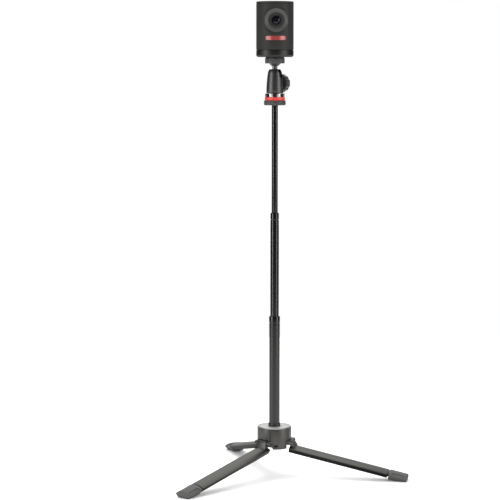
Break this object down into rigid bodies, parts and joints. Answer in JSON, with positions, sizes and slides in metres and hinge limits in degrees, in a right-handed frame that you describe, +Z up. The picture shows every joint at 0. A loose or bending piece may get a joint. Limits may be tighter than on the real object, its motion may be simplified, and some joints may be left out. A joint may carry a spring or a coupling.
{
  "type": "webcam on tripod",
  "caption": "Round webcam on a small ball head, on a telescopic pole with three wide folding legs.",
  "frame": {"origin": "on the ground, straight below the pole's axis", "axes": "+Z up along the pole; the webcam looks along -Y; +X is to the right as one faces the lens"},
  "size_m": [0.3165, 0.3273, 0.6525],
  "materials": {
    "hub_metal": "dark grey satin anodised",
    "hub_plate": "bright polished",
    "leg_metal": "dark grey satin anodised",
    "foot_rubber": "matt moulded rubber",
    "tube_metal": "black satin anodised, drawn lengthwise",
    "black_plastic": "fine matt moulded",
    "low_friction_plastic": "natural acetal",
    "red_metal": "red satin anodised",
    "head_metal": "black satin anodised",
    "knob_plastic": "soft black moulded",
    "steel": "turned, bright",
    "spring_steel": "rolled strip",
    "brass": "turned",
    "pad_rubber": "ribbed rubber",
    "stand_metal": "dark satin, bright at the edges",
    "cam_plastic": "fine grained charcoal plastic",
    "bezel_plastic": "satin grey",
    "barrel_plastic": "matt black",
    "lens_glass": "coated, dark",
    "red_window": "translucent red",
    "led_lens": "milky",
    "circuit_board": "solder mask",
    "battery_wrap": "shrink sleeve",
    "chip": "moulded package"
  },
  "bodies": {
    "base": {"hub_body": "hub_metal", "hub_top_plate": "hub_plate", "hub_bottom_cover": "black_plastic", "hub_screw": "steel", "pole_collar": "black_plastic", "hinge_pins": "steel", "lower_tube": "tube_metal", "lower_tube_plug": "brass", "mid_mouth_bush": "low_friction_plastic"},
    "leg_right": {"leg_arm_right": "leg_metal", "leg_foot_right": "foot_rubber"},
    "leg_front_left": {"leg_arm_front_left": "leg_metal", "leg_foot_front_left": "foot_rubber"},
    "leg_rear": {"leg_arm_rear": "leg_metal", "leg_foot_rear": "foot_rubber"},
    "mid_section": {"mid_tube": "tube_metal", "mid_friction_sleeve": "low_friction_plastic", "mid_friction_spring": "spring_steel", "top_mouth_bush": "low_friction_plastic"},
    "top_section": {"top_tube": "tube_metal", "top_friction_sleeve": "low_friction_plastic", "top_friction_spring": "spring_steel", "pole_disc": "head_metal", "pole_stud": "steel", "red_base_ring": "red_metal"},
    "lock_ring": {"pan_lock_ring": "head_metal"},
    "head": {"head_housing": "head_metal", "pan_retainer": "steel", "clamp_plunger": "brass", "friction_cup": "low_friction_plastic", "disc_springs": "spring_steel"},
    "knob": {"lock_knob": "knob_plastic", "lock_knob_screw": "steel"},
    "stem": {"ball_stem": "steel", "platform_wheel": "head_metal", "platform_pad": "pad_rubber", "camera_screw": "steel"},
    "webcam": {"stand_body": "stand_metal", "stand_insert": "brass", "stand_pad": "pad_rubber", "stand_screws": "steel", "cam_shell": "cam_plastic", "cam_cap": "cam_plastic", "lens_bezel": "bezel_plastic", "lens_barrel": "barrel_plastic", "front_lens": "lens_glass", "rear_lens": "lens_glass", "image_sensor": "chip", "sensor_board": "circuit_board", "status_led": "led_lens", "status_window": "red_window", "light_guide": "led_lens", "led_board": "circuit_board", "main_board": "circuit_board", "battery": "battery_wrap", "port_frame": "black_plastic", "usb_inlet": "steel", "card_socket": "steel", "button_switch": "circuit_board"},
    "button": {"power_button": "cam_plastic"}
  },
  "joints": [
    {"name": "leg_right_fold", "type": "hinge", "parent": "base", "child": "leg_right", "pos_m": [0.02422, -0.00486, 0.04846], "axis": [0.1968, 0.9804, 0], "range_deg": [0, 77.5]},
    {"name": "leg_front_left_fold", "type": "hinge", "parent": "base", "child": "leg_front_left", "pos_m": [-0.01632, -0.01854, 0.04846], "axis": [0.7507, -0.6607, 0], "range_deg": [0, 77.5]},
    {"name": "leg_rear_fold", "type": "hinge", "parent": "base", "child": "leg_rear", "pos_m": [-0.0079, 0.0234, 0.04846], "axis": [-0.9475, -0.3198, 0], "range_deg": [0, 77.5]},
    {"name": "mid_slide", "type": "slide", "parent": "base", "child": "mid_section", "axis": [0, 0, 1], "range_m": [-0.139, 0]},
    {"name": "top_slide", "type": "slide", "parent": "mid_section", "child": "top_section", "axis": [0, 0, 1], "range_m": [-0.141, 0]},
    {"name": "lock_ring_turn", "type": "hinge", "parent": "top_section", "child": "lock_ring", "pos_m": [0, 0, 0.52586], "axis": [0, 0, 1], "range_deg": [0, 70]},
    {"name": "head_pan", "type": "hinge", "parent": "top_section", "child": "head", "pos_m": [0, 0, 0.52876], "axis": [0, 0, 1], "continuous": true},
    {"name": "knob_turn", "type": "hinge", "parent": "head", "child": "knob", "pos_m": [0, 0, 0.54196], "axis": [0.4695, 0.8829, 0], "range_deg": [0, 360]},
    {"name": "ball_tilt", "type": "hinge", "parent": "head", "child": "stem", "pos_m": [0, 0, 0.55296], "axis": [0.4695, 0.8829, 0], "range_deg": [-19, 90]},
    {"name": "webcam_turn", "type": "hinge", "parent": "stem", "child": "webcam", "pos_m": [0, 0, 0.57766], "axis": [0, 0, 1], "range_deg": [-180, 180]},
    {"name": "button_press", "type": "slide", "parent": "webcam", "child": "button", "axis": [0.0576, -0.9983, 0], "range_m": [0, 0.0006], "stiffness_N_per_m": 1200, "springref_m": -0.0004}
  ]
}
